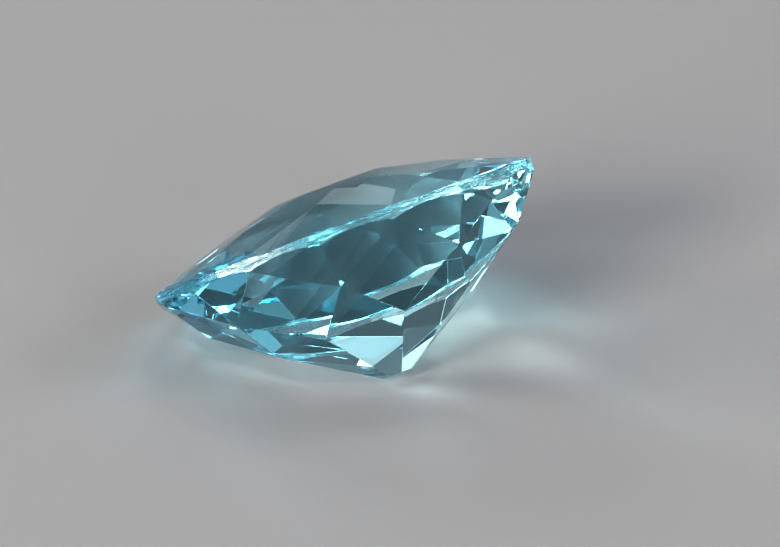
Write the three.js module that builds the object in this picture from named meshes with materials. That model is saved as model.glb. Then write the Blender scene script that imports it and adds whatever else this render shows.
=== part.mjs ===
// A loose cut topaz: an oval modified brilliant, lying on one of its pavilion facets.
//
// The cut is laid out the way a gem cutter plans it. It is first drawn upright, with the girdle
// in the XY plane, the long axis on X and the table facing +Z, as rings of meeting points joined
// by flat facets. Every facet is exactly flat. The finished stone is then tipped over onto the
// facet that it rests on, so that facet lies in the plane z = 0. Millimetres and degrees, +Z up.

import * as THREE from 'three';
import { mergeVertices } from 'three/addons/utils/BufferGeometryUtils.js';

// ---- Driving dimensions -------------------------------------------------------------------

const LENGTH = 18;                  // long axis of the oval, across the girdle
const WIDTH = 13;                   // short axis
const CROWN_HEIGHT = 1.83;          // table above the girdle's upper edge
const GIRDLE_THICKNESS = 0.61;      // at the corners of the girdle, where it is thickest
const TABLE_SIZE = 0.295;           // corners of the table, as a share of the half axis
const STAR_REACH = 0.593;           // outer tips of the star facets, as the same share

const FIRST_TIER_REACH = 0.834;     // where the upper pavilion facets meet, as a share
const FIRST_TIER_DEPTH = 1.93;      // how far below the girdle they meet
const SECOND_TIER_REACH = 0.547;    // where the main pavilion facets end, as a share
const CULET_SIZE = 0.082;           // corners of the culet facet, as a share

const FOLD = 8;                     // main facets around the stone
const GIRDLE_STEPS = 6;             // small flats in the girdle between two of its corners
const RESTING_SECTOR = 2;           // the lower pavilion facet it lies on, counted from +X

// ---- The rings of meeting points ----------------------------------------------------------

const SECTOR = 2 * Math.PI / FOLD;
const HALF_SECTOR = SECTOR / 2;

// A point at a share of the way out to the oval's edge. The oval is a circle drawn out along X,
// so facets that are flat on a round stone stay flat on this one.
function ovalPoint(share, angle, height) {
    return new THREE.Vector3(
        share * LENGTH / 2 * Math.cos(angle),
        share * WIDTH / 2 * Math.sin(angle),
        height,
    );
}

// Eight points around the stone, level with each other. The first stands at firstAngle.
function ring(share, firstAngle, height) {
    const points = [];
    for (let sector = 0; sector < FOLD; sector += 1) {
        points.push(ovalPoint(share, firstAngle + sector * SECTOR, height));
    }
    return points;
}

// The crown's kites run flat from a corner of the table to the girdle, so their slope fixes how
// high the tips of the star facets are. Slopes are per share of the half axis.
const girdleTop = GIRDLE_THICKNESS / 2;
const kiteSlope = CROWN_HEIGHT / (1 - TABLE_SIZE);
const starTipHeight = girdleTop + kiteSlope * (1 - STAR_REACH * Math.cos(HALF_SECTOR));

const tableCorners = ring(TABLE_SIZE, 0, girdleTop + CROWN_HEIGHT);
const starTips = ring(STAR_REACH, HALF_SECTOR, starTipHeight);

// In the same way the main pavilion facets fix the depth of the second tier, and the lower
// facets, which all aim at one point on the axis, fix the depth of the culet.
const mainSlope = FIRST_TIER_DEPTH / (1 - FIRST_TIER_REACH * Math.cos(HALF_SECTOR));
const secondTierDepth = mainSlope * (1 - SECOND_TIER_REACH);
const lowerSlope = (secondTierDepth - FIRST_TIER_DEPTH)
    / (FIRST_TIER_REACH - SECOND_TIER_REACH * Math.cos(HALF_SECTOR));
const culetDepth = secondTierDepth
    + lowerSlope * (SECOND_TIER_REACH - CULET_SIZE) * Math.cos(HALF_SECTOR);

const firstTier = ring(FIRST_TIER_REACH, HALF_SECTOR, -girdleTop - FIRST_TIER_DEPTH);
const secondTier = ring(SECOND_TIER_REACH, 0, -girdleTop - secondTierDepth);
const culetCorners = ring(CULET_SIZE, 0, -girdleTop - culetDepth);

// ---- Facets -------------------------------------------------------------------------------

const facets = [];

// Adds one flat facet. Its corners run anticlockwise as seen from outside the stone.
function addFacet(...corners) {
    facets.push(corners);
}

// The edge of the girdle from one of its corners to the next, half a sector on. It follows the
// oval, and its height is where the facet above or below it cuts the girdle's upright wall. That
// leaves the wall thinner between the corners, in the scallops that a cut girdle has.
function girdleEdge(startAngle, inner, side) {
    const start = ovalPoint(1, startAngle, side * girdleTop);
    const end = ovalPoint(1, startAngle + HALF_SECTOR, side * girdleTop);
    const facetPlane = new THREE.Plane().setFromCoplanarPoints(start, end, inner);
    const edge = [];
    for (let step = 0; step <= GIRDLE_STEPS; step += 1) {
        const point = ovalPoint(1, startAngle + HALF_SECTOR * step / GIRDLE_STEPS, 0);
        point.z = -(facetPlane.normal.dot(point) + facetPlane.constant) / facetPlane.normal.z;
        edge.push(point);
    }
    return edge;
}

// One of the eight lower pavilion facets, from the first tier down to the culet.
function lowerFacet(sector) {
    const next = (sector + 1) % FOLD;
    return [
        firstTier[sector],
        secondTier[sector],
        culetCorners[sector],
        culetCorners[next],
        secondTier[next],
    ];
}

addFacet(...tableCorners);
addFacet(...culetCorners.toReversed());

for (let sector = 0; sector < FOLD; sector += 1) {
    const next = (sector + 1) % FOLD;
    const previous = (sector + FOLD - 1) % FOLD;
    const angle = sector * SECTOR;
    const girdleCornerTop = ovalPoint(1, angle, girdleTop);
    const girdleCornerBottom = ovalPoint(1, angle, -girdleTop);

    // Crown: a star facet between two table corners, and a kite below each corner.
    addFacet(tableCorners[sector], starTips[sector], tableCorners[next]);
    addFacet(tableCorners[sector], starTips[previous], girdleCornerTop, starTips[sector]);

    // Pavilion: a main facet below each kite, and a lower facet down to the culet.
    addFacet(girdleCornerBottom, firstTier[previous], secondTier[sector], firstTier[sector]);
    addFacet(...lowerFacet(sector));

    // Two upper girdle facets, two lower ones, and the girdle wall between them.
    for (const half of [0, 1]) {
        const startAngle = angle + half * HALF_SECTOR;
        const upperEdge = girdleEdge(startAngle, starTips[sector], 1);
        const lowerEdge = girdleEdge(startAngle, firstTier[sector], -1);
        addFacet(starTips[sector], ...upperEdge);
        addFacet(firstTier[sector], ...lowerEdge.toReversed());
        for (let step = 0; step < GIRDLE_STEPS; step += 1) {
            addFacet(lowerEdge[step], lowerEdge[step + 1], upperEdge[step + 1], upperEdge[step]);
        }
    }
}

// ---- The solid ----------------------------------------------------------------------------

// Every facet is convex, so a fan of triangles from its first corner fills it.
function buildStone() {
    const positions = [];
    for (const corners of facets) {
        for (let index = 1; index + 1 < corners.length; index += 1) {
            positions.push(...corners[0], ...corners[index], ...corners[index + 1]);
        }
    }
    const geometry = new THREE.BufferGeometry();
    geometry.setAttribute('position', new THREE.Float32BufferAttribute(positions, 3));
    return mergeVertices(geometry, 1e-4);
}

// Tips the stone until the facet it lies on faces straight down, with its long axis over +X,
// and puts the middle of that facet at the origin.
function layOnFacet(geometry) {
    const restingCorners = lowerFacet(RESTING_SECTOR);
    const outward = new THREE.Plane().setFromCoplanarPoints(...restingCorners).normal;
    const tip = new THREE.Quaternion().setFromUnitVectors(outward, new THREE.Vector3(0, 0, -1));
    const longAxis = new THREE.Vector3(1, 0, 0).applyQuaternion(tip);
    const placing = new THREE.Matrix4()
        .makeRotationZ(-Math.atan2(longAxis.y, longAxis.x))
        .multiply(new THREE.Matrix4().makeRotationFromQuaternion(tip));
    const middle = new THREE.Vector3();
    for (const corner of restingCorners) {
        middle.addScaledVector(corner.clone().applyMatrix4(placing), 1 / restingCorners.length);
    }
    geometry.applyMatrix4(placing);
    geometry.translate(-middle.x, -middle.y, -middle.z);
    return geometry;
}

const topazMaterial = new THREE.MeshStandardMaterial({
    name: 'light blue topaz',
    color: 0x6fb9c6,
    roughness: 0.04,
    metalness: 0,
    flatShading: true,
});

const topaz = new THREE.Mesh(layOnFacet(buildStone()), topazMaterial);
topaz.name = 'topaz';

const gemstone = new THREE.Group();
gemstone.name = 'gemstone';
gemstone.add(topaz);

export default gemstone;
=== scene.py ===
"""A loose cut topaz, an oval modified brilliant of clear light blue stone, resting on one of the
facets of its pavilion. Metres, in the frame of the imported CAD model."""
import math

import bmesh
import bpy
from mathutils import Matrix, Vector


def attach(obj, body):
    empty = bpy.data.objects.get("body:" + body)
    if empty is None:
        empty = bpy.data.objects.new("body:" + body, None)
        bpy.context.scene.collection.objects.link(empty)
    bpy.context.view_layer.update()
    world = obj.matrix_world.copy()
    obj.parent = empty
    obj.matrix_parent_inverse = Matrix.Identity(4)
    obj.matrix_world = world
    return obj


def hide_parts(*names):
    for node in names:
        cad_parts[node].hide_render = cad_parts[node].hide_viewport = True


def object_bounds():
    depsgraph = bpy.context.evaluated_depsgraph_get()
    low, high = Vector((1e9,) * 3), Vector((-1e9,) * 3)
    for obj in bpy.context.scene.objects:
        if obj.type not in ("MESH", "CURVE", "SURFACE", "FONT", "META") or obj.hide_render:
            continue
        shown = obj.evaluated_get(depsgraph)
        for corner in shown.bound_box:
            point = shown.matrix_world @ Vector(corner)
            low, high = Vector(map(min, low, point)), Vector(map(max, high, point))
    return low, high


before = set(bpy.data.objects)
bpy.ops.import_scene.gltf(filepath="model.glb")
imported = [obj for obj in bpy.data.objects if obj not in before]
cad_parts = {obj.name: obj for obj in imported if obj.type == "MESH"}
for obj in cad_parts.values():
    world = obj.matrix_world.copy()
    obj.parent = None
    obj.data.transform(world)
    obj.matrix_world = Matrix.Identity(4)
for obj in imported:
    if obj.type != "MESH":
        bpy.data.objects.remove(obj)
cad_low, cad_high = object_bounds()

# ---- The topaz ---------------------------------------------------------------------------------
# One piece of clear topaz, coloured light blue by irradiation and heat, and cut as an oval modified
# brilliant. Each facet is ground flat on a turning lap and then polished with fine alumina. The
# girdle, the narrow wall around the widest part, is only ground, and stays finely frosted.
MM = 0.001                      # metres
SAME_POINT = 0.001 * MM         # corners closer than this are one corner
FLAT_TURN = math.radians(0.2)   # triangles that turn less than this lie in one flat facet
SOFT_TURN = math.radians(1.5)   # edges that turn less than this don't wear
EDGE_WEAR = 0.03 * MM           # width of the rubbed line along the others, wider than a real one
SMALL_LEAN = math.radians(3)    # a lean below this counts as none
LAP_TURN = 2.4                  # radians that the lap's direction turns from facet to facet


def linear(hex_colour):
    """The linear value of an sRGB colour such as '#8fc4d0'."""
    channels = [int(hex_colour[i:i + 2], 16) / 255 for i in (1, 3, 5)]
    return [c / 12.92 if c <= 0.04045 else ((c + 0.055) / 1.055) ** 2.4 for c in channels] + [1.0]


def add_node(tree, kind, links=None, values=None, **settings):
    """Adds a node to a tree. Links name the outputs that feed its inputs, values set its other
    inputs, and settings are properties of the node itself."""
    node = tree.nodes.new(kind)
    for name, value in settings.items():
        setattr(node, name, value)
    for name, value in (values or {}).items():
        node.inputs[name].default_value = value
    for name, output in (links or {}).items():
        tree.links.new(output, node.inputs[name])
    return node


# The facets of the solid, with the triangles of each put together again.
stone_mesh = bpy.data.meshes.new("topaz_facets")
facets = bmesh.new()
facets.from_mesh(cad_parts["topaz"].data)
bmesh.ops.remove_doubles(facets, verts=facets.verts, dist=SAME_POINT)
bmesh.ops.dissolve_limit(
    facets, angle_limit=FLAT_TURN, verts=facets.verts, edges=facets.edges)

# The table is the largest facet and faces along the stone's axis. Each facet notes which way the
# lap ran over it, and whether it is part of the girdle's frosted wall, which faces square to that.
lap_direction = facets.faces.layers.float_vector.new("lap_direction")
frosted = facets.faces.layers.float.new("frosted")
rubbed = facets.faces.layers.float.new("rubbed")
stone_axis = max(facets.faces, key=lambda face: face.calc_area()).normal.copy()
for number, facet in enumerate(facets.faces):
    along = facet.normal.cross(stone_axis)
    if along.length < math.sin(SMALL_LEAN):
        along = facet.normal.orthogonal()
    facet[lap_direction] = Matrix.Rotation(number * LAP_TURN, 3, facet.normal) @ along.normalized()
    facet[frosted] = float(abs(facet.normal.dot(stone_axis)) < math.sin(SMALL_LEAN))

# Wear rubs a hair-thin flat along each edge between two facets.
sharp_edges = [edge for edge in facets.edges if edge.calc_face_angle() > SOFT_TURN]
worn = bmesh.ops.bevel(
    facets, geom=sharp_edges, offset=EDGE_WEAR / 2, segments=1, affect="EDGES",
    clamp_overlap=True)
for face in worn["faces"]:
    face[rubbed] = 1.0
facets.to_mesh(stone_mesh)
facets.free()
stone = bpy.data.objects.new("cut_topaz", stone_mesh)
bpy.context.scene.collection.objects.link(stone)

# Polished topaz: glass-clear, with sharp reflections. Very fine lines from the lap and faint smears
# keep the facets from being perfect mirrors, and the girdle and the worn edges scatter the light.
TOPAZ_IOR = 1.62
TOPAZ_BLUE = "#00e2f2"          # what is left of white light after a long way through the stone
TOPAZ_DENSITY = 52.0            # how fast it gets there, per metre
POLISH_LINE = 0.30 * MM         # spacing of the polishing lines, drawn far coarser than real ones
SMEAR = 2.2 * MM                # size of the patches where the polish is a little less bright
SMEAR_ROUGHNESS = 0.03          # roughness where a smear is at its dullest
WORN_ROUGHNESS = 0.12           # roughness of the rubbed lines along the edges
GIRDLE_LINE = 0.14 * MM         # spacing of the grinding marks around the girdle, drawn coarser too
GIRDLE_LINE_LENGTH = 1.1 * MM   # how long each of them is
GIRDLE_SMOOTH = 0.04            # roughness of the girdle, from its smoothest places
GIRDLE_ROUGH = 0.30             # to its roughest
MARK_HEIGHT = 0.02 * MM         # height of its grinding marks, drawn taller to go with their spacing
LAP_SHARE = 0.01                # the lap's lines on the facets, as a share of that height
topaz = bpy.data.materials.new("polished topaz")
topaz.use_nodes = True
tree = topaz.node_tree
tree.nodes.clear()
place = add_node(tree, "ShaderNodeTexCoord").outputs["Object"]
lap = add_node(tree, "ShaderNodeAttribute", attribute_name="lap_direction").outputs["Vector"]
frosting = add_node(tree, "ShaderNodeAttribute", attribute_name="frosted").outputs["Fac"]
rubbing = add_node(tree, "ShaderNodeAttribute", attribute_name="rubbed").outputs["Fac"]

across_lines = add_node(
    tree, "ShaderNodeVectorMath", {0: place, 1: lap}, operation="DOT_PRODUCT").outputs["Value"]
lines = add_node(
    tree, "ShaderNodeTexNoise", {"W": across_lines},
    {"Scale": 1 / POLISH_LINE, "Detail": 1.0, "Roughness": 0.6},
    noise_dimensions="1D").outputs["Fac"]
smears = add_node(
    tree, "ShaderNodeTexNoise", {"Vector": place},
    {"Scale": 1 / SMEAR, "Detail": 4.0, "Roughness": 0.55}).outputs["Fac"]
# The girdle's marks run around it, so their pattern is squeezed together along the stone's axis.
up_the_girdle = add_node(
    tree, "ShaderNodeVectorMath", {0: place}, {1: stone_axis},
    operation="PROJECT").outputs["Vector"]
stretched = add_node(
    tree, "ShaderNodeVectorMath", {0: up_the_girdle, 2: place},
    {1: [GIRDLE_LINE_LENGTH / GIRDLE_LINE - 1] * 3}, operation="MULTIPLY_ADD").outputs["Vector"]
grinding = add_node(
    tree, "ShaderNodeTexNoise", {"Vector": stretched},
    {"Scale": 1 / GIRDLE_LINE_LENGTH, "Detail": 2.0}).outputs["Fac"]

# Roughness: nearly none on a facet, more where it is smeared, on a worn edge and on the girdle.
polish = add_node(
    tree, "ShaderNodeMapRange", {"Value": smears},
    {"From Min": 0.45, "From Max": 0.75, "To Min": 0.0, "To Max": SMEAR_ROUGHNESS}
).outputs["Result"]
with_edges = add_node(
    tree, "ShaderNodeMix", {"Factor": rubbing, "A": polish}, {"B": WORN_ROUGHNESS}
).outputs["Result"]
girdle_roughness = add_node(
    tree, "ShaderNodeMapRange", {"Value": grinding},
    {"From Min": 0.35, "From Max": 0.65, "To Min": GIRDLE_SMOOTH, "To Max": GIRDLE_ROUGH}
).outputs["Result"]
roughness = add_node(
    tree, "ShaderNodeMix", {"Factor": frosting, "A": with_edges, "B": girdle_roughness}
).outputs["Result"]

# Height: faint lines of the lap on the facets, marks of the grinding wheel around the girdle.
lap_marks = add_node(
    tree, "ShaderNodeBump", {"Height": lines}, {"Strength": LAP_SHARE, "Distance": MARK_HEIGHT})
girdle_marks = add_node(
    tree, "ShaderNodeBump",
    {"Height": grinding, "Strength": frosting, "Normal": lap_marks.outputs[0]},
    {"Distance": MARK_HEIGHT})

surface = add_node(
    tree, "ShaderNodeBsdfPrincipled",
    {"Roughness": roughness, "Normal": girdle_marks.outputs[0]},
    {"Base Color": linear("#ffffff"), "IOR": TOPAZ_IOR, "Transmission Weight": 1.0})
# Blue topaz lets blue and green through and takes red away, over a path of a centimetre or two.
absorption = add_node(
    tree, "ShaderNodeVolumeAbsorption",
    values={"Color": linear(TOPAZ_BLUE), "Density": TOPAZ_DENSITY})
add_node(
    tree, "ShaderNodeOutputMaterial",
    {"Surface": surface.outputs[0], "Volume": absorption.outputs[0]})
stone_mesh.materials.append(topaz)

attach(stone, "root")
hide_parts("topaz")

# ---- The floor ---------------------------------------------------------------------------------
# A plain sheet of matt, pale grey studio paper, rolled out flat and much wider than the view.
FLOOR_SIZE = 4.0                # metres
FLOOR_GAP = 0.005 * MM          # keeps the paper clear of the facet that rests on it
PAPER_GREY = "#b5b4b5"

floor_mesh = bpy.data.meshes.new("studio_floor")
sheet = bmesh.new()
bmesh.ops.create_grid(sheet, x_segments=1, y_segments=1, size=FLOOR_SIZE / 2)
sheet.to_mesh(floor_mesh)
sheet.free()
floor = bpy.data.objects.new("studio_floor", floor_mesh)
floor.location.z = -FLOOR_GAP
bpy.context.scene.collection.objects.link(floor)

# Uncoated paper: its fibres scatter all the light evenly, so it has no shine.
paper = bpy.data.materials.new("matt grey paper")
paper.use_nodes = True
tree = paper.node_tree
tree.nodes.clear()
surface = add_node(
    tree, "ShaderNodeBsdfPrincipled", values={"Base Color": linear(PAPER_GREY), "Roughness": 0.9})
add_node(tree, "ShaderNodeOutputMaterial", {"Surface": surface.outputs[0]})
floor_mesh.materials.append(paper)

# ---- The camera --------------------------------------------------------------------------------
# It looks down on the stone's pavilion from in front and the left, through a long lens close by,
# and leans a little to one side.
VIEW_AZIMUTH = -31.1            # degrees
VIEW_ELEVATION = 30.64
VIEW_ROLL = 6.32
VIEW_DISTANCE = 300 * MM
NEAREST_SEEN = 10 * MM
LENS = 317.1                    # millimetres, as the camera counts them
SENSOR = 36
AIM_RIGHT = 1.949 * MM          # the point aimed at, beside the middle of the stone
AIM_UP = -1.45 * MM


def toward(azimuth, elevation):
    """The unit vector from the stone to something at that azimuth and elevation. At azimuth 0 it
    stands before the stone, in -Y, and at 90 to its right, in +X."""
    turn = math.radians(azimuth)
    rise = math.radians(elevation)
    return Vector((
        math.sin(turn) * math.cos(rise), -math.cos(turn) * math.cos(rise), math.sin(rise)))


middle = (cad_low + cad_high) / 2
back = toward(VIEW_AZIMUTH, VIEW_ELEVATION)
level_right = Vector((0, 0, 1)).cross(back).normalized()
level_up = back.cross(level_right)
roll = math.radians(VIEW_ROLL)
right = level_right * math.cos(roll) + level_up * math.sin(roll)
up = level_up * math.cos(roll) - level_right * math.sin(roll)
camera = bpy.data.objects.new("camera", bpy.data.cameras.new("camera"))
bpy.context.scene.collection.objects.link(camera)
camera.data.lens = LENS
camera.data.sensor_width = SENSOR
camera.data.clip_start = NEAREST_SEEN
camera.rotation_mode = "QUATERNION"
camera.rotation_quaternion = Matrix((right, up, back)).transposed().to_quaternion()
camera.location = middle + right * AIM_RIGHT + up * AIM_UP + back * VIEW_DISTANCE
bpy.context.scene.camera = camera

# ---- The lights --------------------------------------------------------------------------------
# Soft boxes around the stone in a dim room: slightly warm ones on the left give the main light, and
# cool or white ones on the right and behind fill in. The stone shows each of them, or the dark
# between them, in one facet or another.
LIGHT_DISTANCE = 1.2            # metres
WARM = "#fff7ee"
COOL = "#e6f3ff"
WHITE = "#ffffff"
ROOM_TINT = "#f2f8ff"


def soft_box(name, turn, elevation, width, height, brightness, colour):
    """A rectangle of soft light that faces the stone. It stands that many degrees to the right of
    the camera, seen from the stone, and is that many degrees wide and high. Brightness is for
    each part of its surface, so a larger box gives more light."""
    lamp = bpy.data.lights.new(name, "AREA")
    lamp.shape = "RECTANGLE"
    lamp.size = 2 * LIGHT_DISTANCE * math.tan(math.radians(width / 2))
    lamp.size_y = 2 * LIGHT_DISTANCE * math.tan(math.radians(height / 2))
    lamp.energy = brightness * math.pi * lamp.size * lamp.size_y
    lamp.color = linear(colour)[:3]
    holder = bpy.data.objects.new(name, lamp)
    bpy.context.scene.collection.objects.link(holder)
    out = toward(VIEW_AZIMUTH + turn, elevation)
    side = Vector((0, 0, 1)).cross(out).normalized()
    holder.rotation_euler = Matrix((side, out.cross(side), out)).transposed().to_euler()
    holder.location = middle + out * LIGHT_DISTANCE
    holder.visible_camera = False


# The turns, elevations, sizes and strengths below came out of a separate fitting program, and all
# the strengths were then raised by about 3 percent. Afterwards, on their own, only those of
# window_right_pane, right_side_box, right_low_box and back_high_box were changed.

# The window side, on the left.
soft_box("window", -36, 24, 16, 12, 34.6, WARM)
soft_box("window_right_pane", -18, 24, 16, 12, 9.0, WARM)
soft_box("window_lower_pane", -30, 13, 15, 10, 5.6, WARM)
soft_box("window_sill", -40, 4, 20, 8, 23.4, WARM)
soft_box("left_box", -67, 37, 18, 15, 2.8, WARM)
soft_box("left_low_box", -75, 13, 15, 10, 16.0, WARM)
soft_box("left_high_box", -90, 53, 18, 17, 2.2, WARM)

# The right-hand side.
soft_box("right_front_box", 36, 24, 16, 12, 5.9, COOL)
soft_box("right_front_high_box", 45, 37, 18, 15, 0.53, COOL)
soft_box("right_box", 67, 37, 18, 15, 1.9, COOL)
soft_box("right_side_box", 90, 37, 18, 15, 7.6, COOL)
soft_box("right_low_box", 100, 4, 20, 8, 5.0, COOL)

# Behind the stone.
soft_box("back_left_box", -126, 24, 16, 12, 0.54, WHITE)
soft_box("back_left_high_box", -135, 37, 18, 15, 3.2, WHITE)
soft_box("back_left_low_box", -150, 13, 15, 10, 1.1, WHITE)
soft_box("back_low_box", -160, 4, 20, 8, 0.62, WHITE)
soft_box("back_box", 180, 53, 18, 17, 0.63, WHITE)
soft_box("back_high_box", 180, 71, 20, 18, 3.2, WHITE)

# The rest of the room is dim, and dimmest around the camera.
CAMERA_SIDE_BRIGHTNESS = 0.145
FAR_SIDE_BRIGHTNESS = 0.39
world = bpy.data.worlds.new("studio")
bpy.context.scene.world = world
world.use_nodes = True
tree = world.node_tree
tree.nodes.clear()
outward = add_node(tree, "ShaderNodeTexCoord").outputs["Generated"]
to_camera_side = add_node(
    tree, "ShaderNodeVectorMath", {0: outward}, {1: toward(VIEW_AZIMUTH, 0)},
    operation="DOT_PRODUCT").outputs["Value"]
brightness = add_node(
    tree, "ShaderNodeMapRange", {"Value": to_camera_side},
    {"From Min": -1.0, "From Max": 1.0,
     "To Min": FAR_SIDE_BRIGHTNESS, "To Max": CAMERA_SIDE_BRIGHTNESS}).outputs["Result"]
room = add_node(
    tree, "ShaderNodeBackground", {"Strength": brightness}, {"Color": linear(ROOM_TINT)})
add_node(tree, "ShaderNodeOutputWorld", {"Surface": room.outputs[0]})

# Plain colours with a fairly strong contrast.
view = bpy.context.scene.view_settings
view.view_transform = "Standard"
view.gamma = 0.70

# Light bounces from facet to facet many times before it leaves the stone, and the light that the
# stone gathers into bright patches on the paper keeps its full strength.
light_paths = bpy.context.scene.cycles
light_paths.sample_clamp_indirect = 0.0
light_paths.blur_glossy = 0.0
light_paths.max_bounces = 24
light_paths.glossy_bounces = 16
light_paths.transmission_bounces = 16
